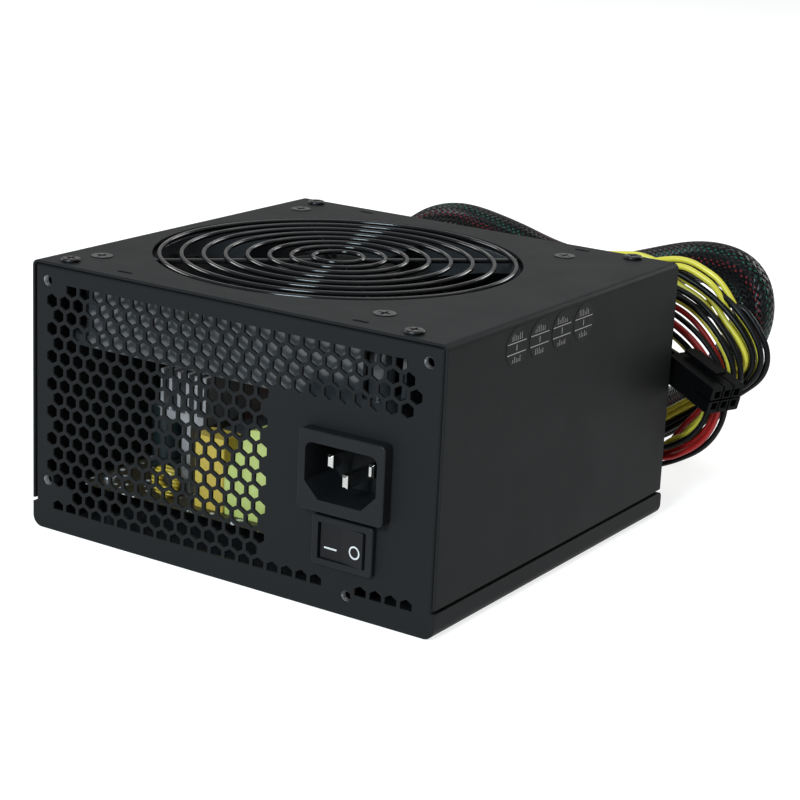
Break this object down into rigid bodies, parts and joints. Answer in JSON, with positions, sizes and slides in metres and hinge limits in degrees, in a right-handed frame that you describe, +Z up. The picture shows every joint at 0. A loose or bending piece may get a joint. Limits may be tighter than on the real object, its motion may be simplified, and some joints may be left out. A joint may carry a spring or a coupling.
{
  "type": "computer power supply unit",
  "caption": "Black steel desktop power supply with honeycomb end panel, mains inlet and rocker switch, a large top fan behind a ring guard, and bundled output cables.",
  "frame": {"origin": "centre of the underside of the case, on the surface that it stands on", "axes": "+X to the right seen from the inlet face, +Y from the inlet face back to the cable side, +Z up through the fan"},
  "size_m": [0.184, 0.267, 0.0871],
  "materials": {
    "black_enamel": "fine-textured satin black powder coat",
    "dark_steel": "black zinc",
    "bright_steel": "plain zinc",
    "black_plastic": "satin moulded",
    "white_plastic": "satin moulded",
    "nickel": "nickel plate",
    "brass": "plain",
    "copper": "enamelled copper wire",
    "ferrite": "matt ceramic",
    "clear_sleeve": "translucent",
    "laminate": "tan laminate",
    "black_film": "thin film",
    "extruded_aluminium": "as extruded",
    "yellow_tape": "polyester tape",
    "yellow_case": "moulded case",
    "blue_ceramic": "dipped",
    "black_can": "shrunk sleeve on aluminium",
    "green_can": "shrunk sleeve on aluminium",
    "fuse_glass": "clear with metal caps",
    "black_sleeve": "braided mesh over coloured wires",
    "wire_mix": "coloured wire insulation",
    "wire_yellow": "yellow and black wire insulation",
    "wire_red": "red, yellow and black wire insulation",
    "lead_brown": "brown, blue and green wire insulation",
    "red_paper": "plain printed paper"
  },
  "bodies": {
    "case": {"base_shell": "black_enamel", "board_screws": "bright_steel", "board_standoffs": "dark_steel", "bridge_rectifier": "black_plastic", "bulk_capacitors": "black_can", "cable_gland": "black_plastic", "cover_screws": "dark_steel", "cover_shell": "black_enamel", "cpu_cable": "wire_yellow", "cpu_plugs": "black_plastic", "damping_choke": "copper", "disc_capacitors": "blue_ceramic", "drive_cable_a": "wire_red", "drive_cable_b": "wire_red", "drive_plug_a": "black_plastic", "drive_plug_b": "white_plastic", "fan_bearing": "brass", "fan_coils": "copper", "fan_frame": "black_plastic", "fan_guard": "dark_steel", "fan_lead": "wire_red", "fan_mount": "black_plastic", "fan_plug": "white_plastic", "fan_screws": "dark_steel", "fan_stator": "dark_steel", "film_capacitors": "yellow_case", "fuse": "fuse_glass", "graphics_cable": "wire_yellow", "graphics_plug": "black_plastic", "inlet_pins": "nickel", "inlet_socket": "black_plastic", "inspection_stickers": "red_paper", "insulator_sheet": "black_film", "line_filter_choke": "yellow_tape", "main_board": "laminate", "main_cable": "black_sleeve", "main_plug": "black_plastic", "main_transformer_core": "ferrite", "main_transformer_winding": "yellow_tape", "main_wire_fan": "wire_mix", "mains_leads": "lead_brown", "output_capacitors": "green_can", "output_choke": "copper", "output_harness": "wire_mix", "power_transistors": "black_plastic", "primary_heatsink": "extruded_aluminium", "secondary_heatsink": "extruded_aluminium", "standby_transformer_core": "ferrite", "standby_transformer_winding": "yellow_tape", "switch_housing": "black_plastic", "switch_terminals": "nickel", "terminal_boots": "clear_sleeve"},
    "fan_rotor": {"fan_impeller": "black_plastic", "fan_yoke": "dark_steel", "fan_magnet": "ferrite", "fan_shaft": "bright_steel"},
    "rocker": {"switch_rocker": "black_plastic"}
  },
  "joints": [
    {"name": "fan_spin", "type": "hinge", "parent": "case", "child": "fan_rotor", "pos_m": [-0.01, 0, 0.07], "axis": [0, 0, 1], "continuous": true},
    {"name": "rocker_tilt", "type": "hinge", "parent": "case", "child": "rocker", "pos_m": [0.044, -0.0695, 0.0218], "axis": [0, 0, 1], "range_deg": [0, 8]}
  ]
}
